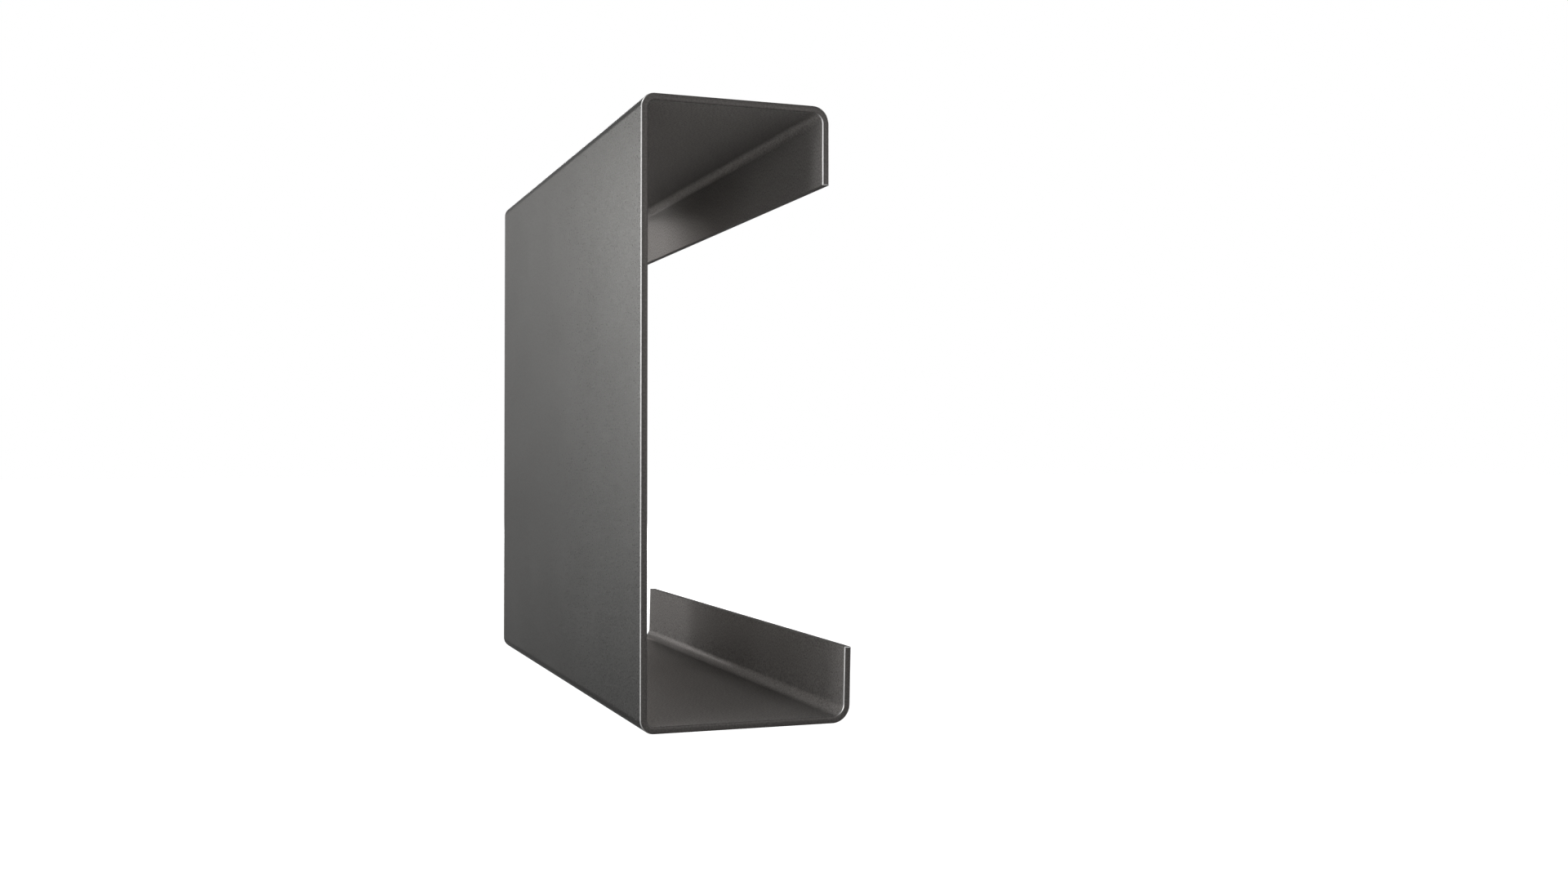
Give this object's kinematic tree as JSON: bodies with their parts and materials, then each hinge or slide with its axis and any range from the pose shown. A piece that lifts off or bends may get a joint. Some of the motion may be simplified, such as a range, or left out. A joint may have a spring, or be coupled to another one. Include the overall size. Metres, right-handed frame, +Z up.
{
  "type": "lipped channel section",
  "caption": "Cold-formed steel channel with a deep web, a wider and a narrower flange and a stiffening lip on each, cut square at both ends and standing on its wider flange.",
  "frame": {"origin": "middle of the overall box at floor level, under the section that stands on its wider flange", "axes": "+X towards the open side, away from the web; +Y along the length; +Z up the web, from the wider to the narrower flange"},
  "size_m": [0.0708, 0.24, 0.2],
  "materials": {
    "mill_steel": "dark grey uncoated strip steel, satin with a fine even grain, and a bright line where the cut ends' edges are eased"
  },
  "bodies": {
    "root": {"lipped_channel": "mill_steel"}
  },
  "joints": []
}
